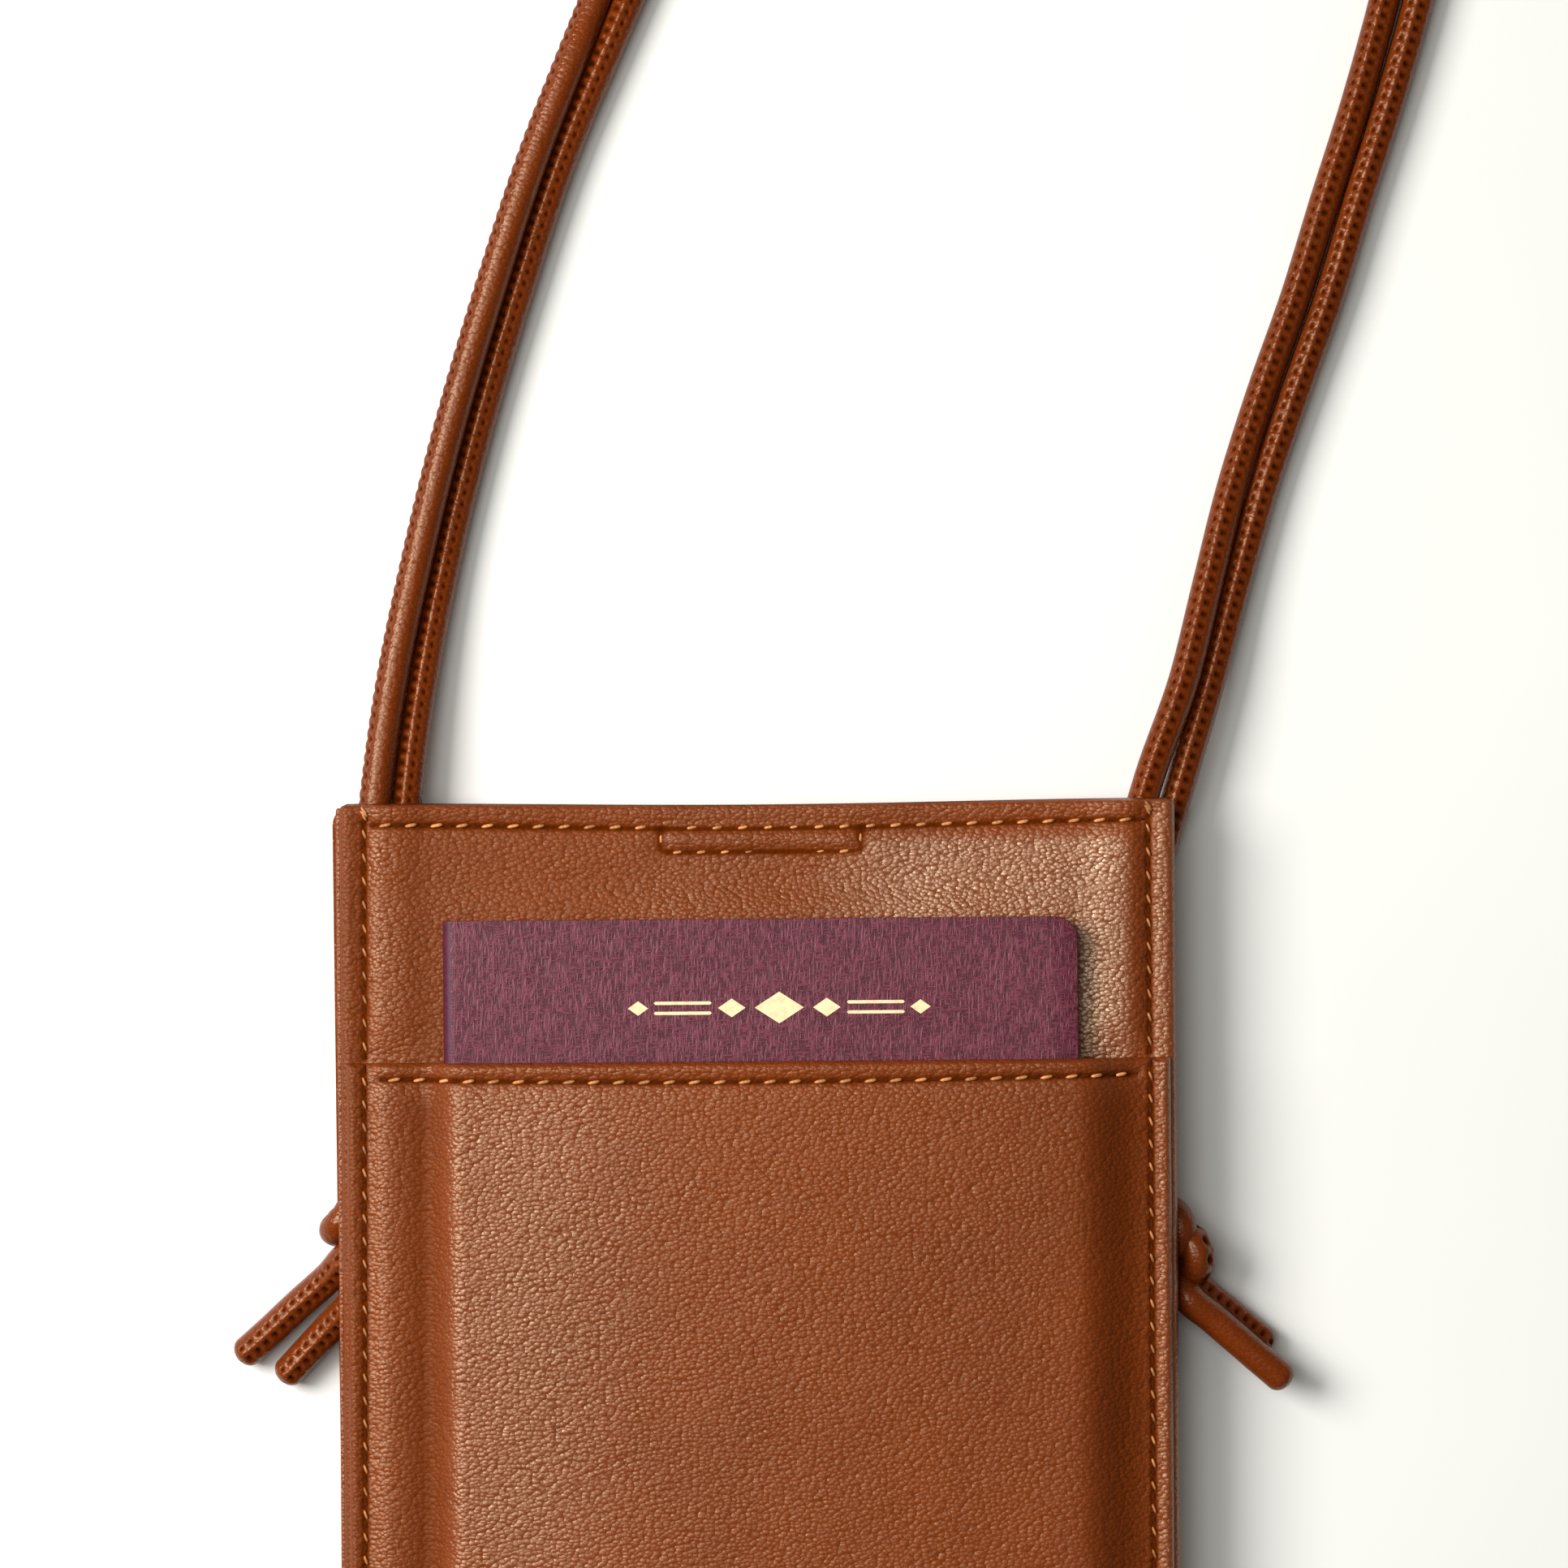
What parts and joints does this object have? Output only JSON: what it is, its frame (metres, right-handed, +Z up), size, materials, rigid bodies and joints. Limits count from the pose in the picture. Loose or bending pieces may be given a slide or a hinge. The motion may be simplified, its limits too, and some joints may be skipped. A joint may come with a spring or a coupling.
{
  "type": "neck pouch wallet",
  "caption": "Flat tan leather neck pouch with a front slip pocket, magnetic mouth, folded side gussets and a double round-cord neck strap knotted at both sides, holding a plain booklet.",
  "frame": {"origin": "centre of the pouch's footprint, on the surface that it lies on, strap left out", "axes": "+Y towards the pouch's mouth, +X towards its right side as seen from the front, +Z up through its front"},
  "size_m": [0.1768, 0.3658, 0.0165],
  "materials": {
    "leather": "fine pebble grain, semi-gloss",
    "cord_leather": "smooth, semi-gloss, sewn along one side",
    "lining": "plain weave, matte",
    "board": "matte fibreboard",
    "magnet": "plated bar magnet",
    "booklet_cover": "linen-embossed, semi-matte",
    "pages": "matte",
    "tie": "matte woven tape"
  },
  "bodies": {
    "back_wall": {"back_panel": "leather", "back_stiffener": "board", "back_magnet": "magnet", "back_lining": "lining", "bottom_fold": "leather", "gusset_left": "leather", "gusset_right": "leather", "keeper_left": "leather", "keeper_right": "leather", "strap_cord_left_outer": "cord_leather", "strap_cord_left_inner": "cord_leather", "strap_cord_right_inner": "cord_leather", "strap_cord_right_outer": "cord_leather", "strap_knot_left": "cord_leather", "strap_knot_right": "cord_leather", "strap_tail_left_upper": "cord_leather", "strap_tail_left_lower": "cord_leather", "strap_tail_right_upper": "cord_leather", "strap_tail_right_lower": "cord_leather", "strap_coil": "cord_leather", "coil_tie": "tie"},
    "front_wall": {"front_panel": "leather", "front_stiffener": "board", "front_magnet": "magnet", "front_lining": "lining", "pocket_panel": "leather"},
    "booklet": {"booklet_back_cover": "booklet_cover", "booklet_front_cover": "booklet_cover", "booklet_pages": "pages", "booklet_spine": "booklet_cover"}
  },
  "joints": [
    {"name": "mouth_open", "type": "hinge", "parent": "back_wall", "child": "front_wall", "pos_m": [0, -0.0721, 0.0059], "axis": [1, 0, 0], "range_deg": [0, 8], "deforming": ["gusset_left", "gusset_right", "bottom_fold"]},
    {"name": "booklet_slide", "type": "slide", "parent": "front_wall", "child": "booklet", "axis": [0, 1, 0], "range_m": [0, 0.11]}
  ]
}
